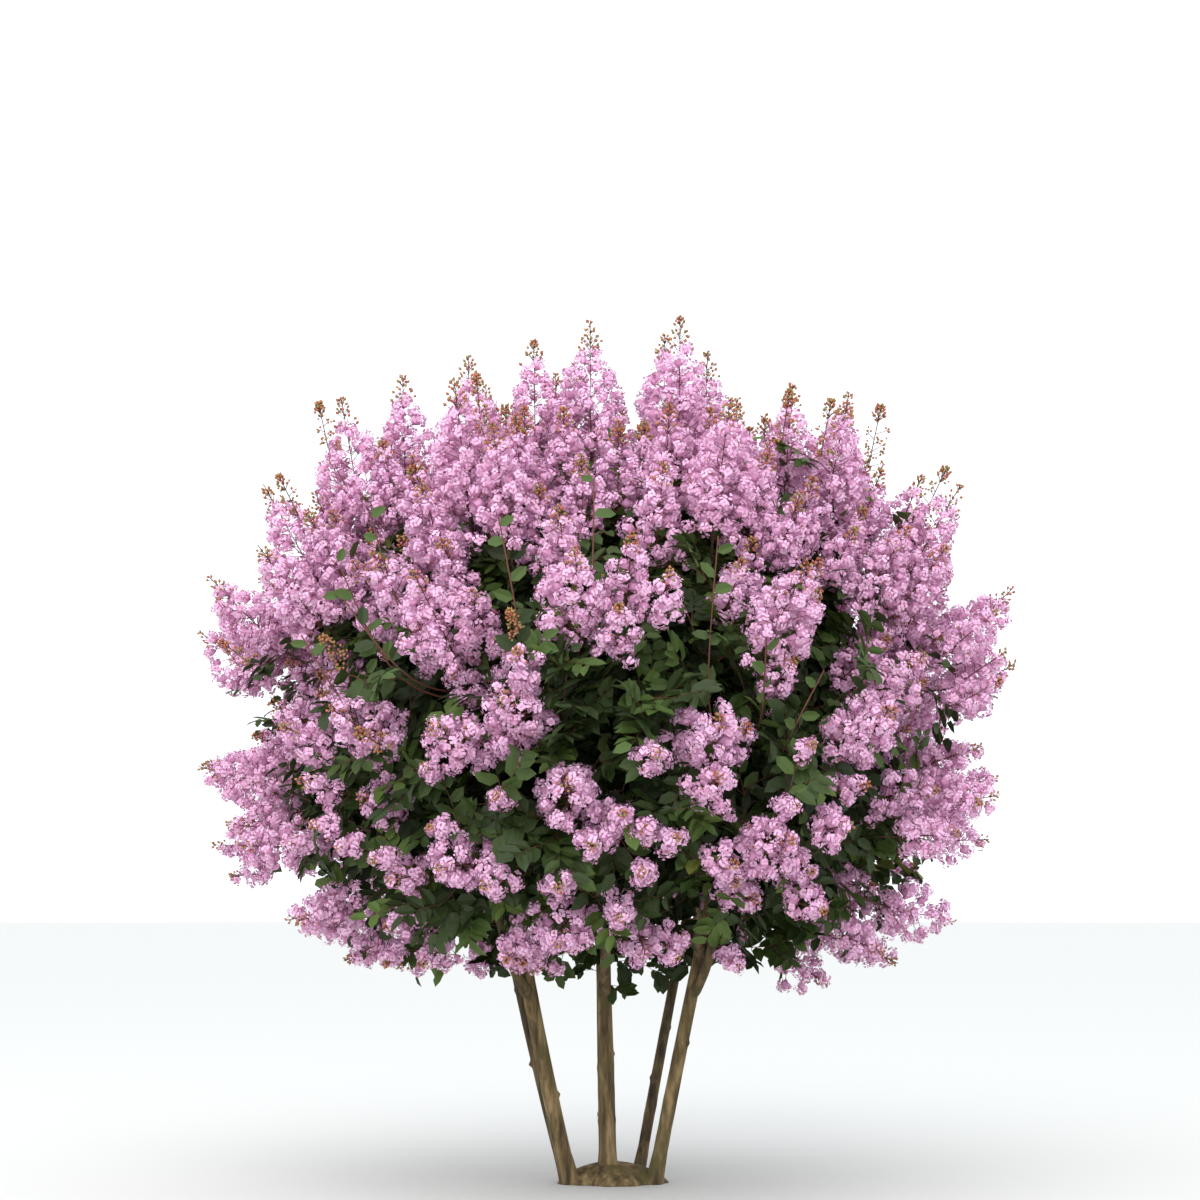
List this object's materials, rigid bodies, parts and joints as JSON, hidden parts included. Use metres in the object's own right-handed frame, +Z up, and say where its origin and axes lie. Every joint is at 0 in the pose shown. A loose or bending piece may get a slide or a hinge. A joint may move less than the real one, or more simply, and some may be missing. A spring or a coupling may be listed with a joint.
{
  "type": "crape myrtle tree",
  "caption": "Crape myrtle tree in full pink bloom: slender bare stems rise from one flared root crown and fork into boughs that carry a broad, round, flowering crown.",
  "frame": {"origin": "on the flat cut at ground level, in the middle of the clump of stems", "axes": "+Z up to the top of the crown, -Y towards the viewer's side, +X to the viewer's right"},
  "size_m": [2.9848, 3.0229, 3.1173],
  "materials": {
    "stem_bark": "matte brown-grey bark, mottled with paler strips",
    "bough_bark": "matte dark brown bark",
    "flowering_shoots": "crinkled pink petals in panicles over dark green leaves"
  },
  "bodies": {
    "root": {"root_crown": "stem_bark", "stem_left": "stem_bark", "stem_left_slim": "stem_bark", "stem_centre": "stem_bark", "stem_right_slim": "stem_bark", "stem_right": "stem_bark", "bough_crest": "bough_bark", "bough_front": "bough_bark", "bough_front_low": "bough_bark", "bough_rear": "bough_bark", "bough_left_crown": "bough_bark", "bough_left_shoulder": "bough_bark", "bough_left_front": "bough_bark", "bough_left_hem": "bough_bark", "bough_rear_left_crown": "bough_bark", "bough_rear_left_side": "bough_bark", "bough_right_crown": "bough_bark", "bough_right_shoulder": "bough_bark", "bough_right_front": "bough_bark", "bough_right_hem": "bough_bark", "bough_rear_right_crown": "bough_bark", "bough_rear_right_side": "bough_bark", "crest_left": "flowering_shoots", "crest_right": "flowering_shoots", "crest_rear": "flowering_shoots", "crest_rear_left": "flowering_shoots", "upper_left": "flowering_shoots", "upper_left_outer": "flowering_shoots", "upper_right": "flowering_shoots", "upper_right_outer": "flowering_shoots", "upper_rear_right": "flowering_shoots", "upper_rear_left": "flowering_shoots", "shoulder_left": "flowering_shoots", "shoulder_left_front": "flowering_shoots", "shoulder_front": "flowering_shoots", "shoulder_right_front": "flowering_shoots", "shoulder_right": "flowering_shoots", "shoulder_rear_right": "flowering_shoots", "shoulder_rear": "flowering_shoots", "shoulder_rear_left": "flowering_shoots", "side_left": "flowering_shoots", "side_left_front": "flowering_shoots", "side_front_left": "flowering_shoots", "side_front_right": "flowering_shoots", "side_right_front": "flowering_shoots", "side_right": "flowering_shoots", "side_rear_right": "flowering_shoots", "side_rear": "flowering_shoots", "side_rear_left": "flowering_shoots", "low_left": "flowering_shoots", "low_left_front": "flowering_shoots", "low_front": "flowering_shoots", "low_right_front": "flowering_shoots", "low_right": "flowering_shoots", "low_rear_right": "flowering_shoots", "low_rear": "flowering_shoots", "low_rear_left": "flowering_shoots", "hem_left": "flowering_shoots", "hem_front": "flowering_shoots", "hem_right": "flowering_shoots"}
  },
  "joints": []
}
